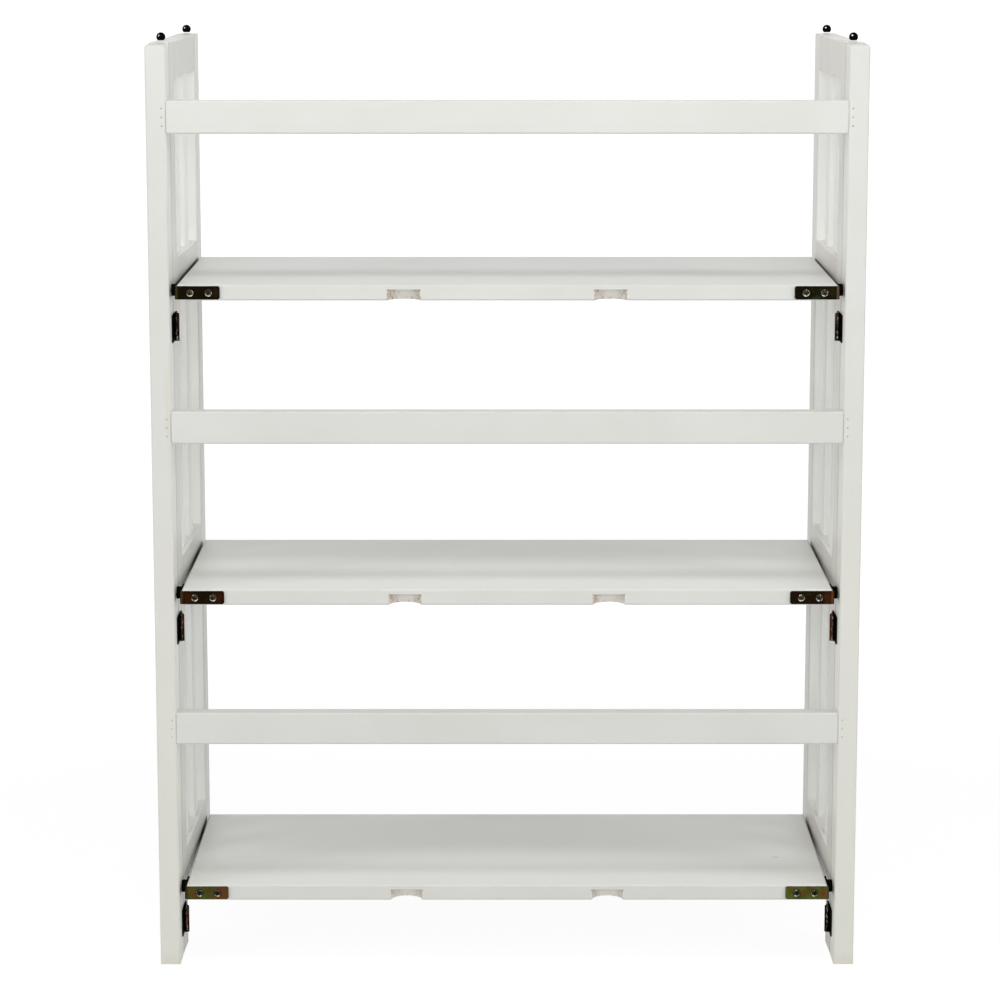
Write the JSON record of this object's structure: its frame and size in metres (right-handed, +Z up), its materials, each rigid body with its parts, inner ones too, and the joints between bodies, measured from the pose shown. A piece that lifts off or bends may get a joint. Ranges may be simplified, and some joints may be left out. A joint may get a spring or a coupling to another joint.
{
  "type": "folding bookcase",
  "caption": "Folding, stackable bookcase of painted wood with slatted sides, flip-up shelves on corner brackets, open back rails and stacking pins.",
  "frame": {"origin": "floor level, in the middle of the footprint", "axes": "+Z up; the back posts and rails face -Y and the open front faces +Y; +X is the right side seen from the back"},
  "size_m": [0.7, 0.2924, 0.933],
  "materials": {
    "painted_wood": "satin off-white paint",
    "bare_wood": "bare hardwood dowel",
    "bracket_steel": "dark passivated steel",
    "hinge_steel": "dark steel",
    "pin_black": "gloss black"
  },
  "bodies": {
    "back_frame": {"back_post_left": "painted_wood", "back_post_right": "painted_wood", "back_rail_bottom": "painted_wood", "back_rail_middle": "painted_wood", "back_rail_top": "painted_wood", "post_hinge_leaves": "hinge_steel"},
    "side_frame_left": {"cross_rail_lower_left": "painted_wood", "cross_rail_middle_left": "painted_wood", "cross_rail_upper_left": "painted_wood", "frame_hinge_leaves_left": "hinge_steel", "front_stile_left": "painted_wood", "rear_stile_left": "painted_wood", "shelf_rests_left": "bare_wood", "slat_lower_front_left": "painted_wood", "slat_lower_rear_left": "painted_wood", "slat_middle_front_left": "painted_wood", "slat_middle_rear_left": "painted_wood", "slat_upper_front_left": "painted_wood", "slat_upper_rear_left": "painted_wood", "stacking_pins_left": "pin_black", "top_rail_left": "painted_wood"},
    "side_frame_right": {"cross_rail_lower_right": "painted_wood", "cross_rail_middle_right": "painted_wood", "cross_rail_upper_right": "painted_wood", "frame_hinge_leaves_right": "hinge_steel", "front_stile_right": "painted_wood", "rear_stile_right": "painted_wood", "shelf_rests_right": "bare_wood", "slat_lower_front_right": "painted_wood", "slat_lower_rear_right": "painted_wood", "slat_middle_front_right": "painted_wood", "slat_middle_rear_right": "painted_wood", "slat_upper_front_right": "painted_wood", "slat_upper_rear_right": "painted_wood", "stacking_pins_right": "pin_black", "top_rail_right": "painted_wood"},
    "shelf_top_unit": {"shelf_brackets_top": "bracket_steel", "shelf_top": "painted_wood"},
    "shelf_middle_unit": {"shelf_brackets_middle": "bracket_steel", "shelf_middle": "painted_wood"},
    "shelf_bottom_unit": {"shelf_bottom": "painted_wood", "shelf_brackets_bottom": "bracket_steel"}
  },
  "joints": [
    {"name": "shelf_bottom_flip", "type": "hinge", "parent": "back_frame", "child": "shelf_bottom_unit", "pos_m": [0, -0.12, 0.0745], "axis": [1, 0, 0], "range_deg": [0, 90]},
    {"name": "shelf_middle_flip", "type": "hinge", "parent": "back_frame", "child": "shelf_middle_unit", "pos_m": [0, -0.12, 0.3785], "axis": [1, 0, 0], "range_deg": [0, 90]},
    {"name": "shelf_top_flip", "type": "hinge", "parent": "back_frame", "child": "shelf_top_unit", "pos_m": [0, -0.12, 0.6825], "axis": [1, 0, 0], "range_deg": [0, 90]},
    {"name": "side_frame_left_swing", "type": "hinge", "parent": "back_frame", "child": "side_frame_left", "pos_m": [-0.327, -0.10775, 0], "axis": [0, 0, -1], "range_deg": [-1.2, 0.4]},
    {"name": "side_frame_right_swing", "type": "hinge", "parent": "back_frame", "child": "side_frame_right", "pos_m": [0.327, -0.10775, 0], "axis": [0, 0, 1], "range_deg": [-1.2, 0.4]}
  ]
}
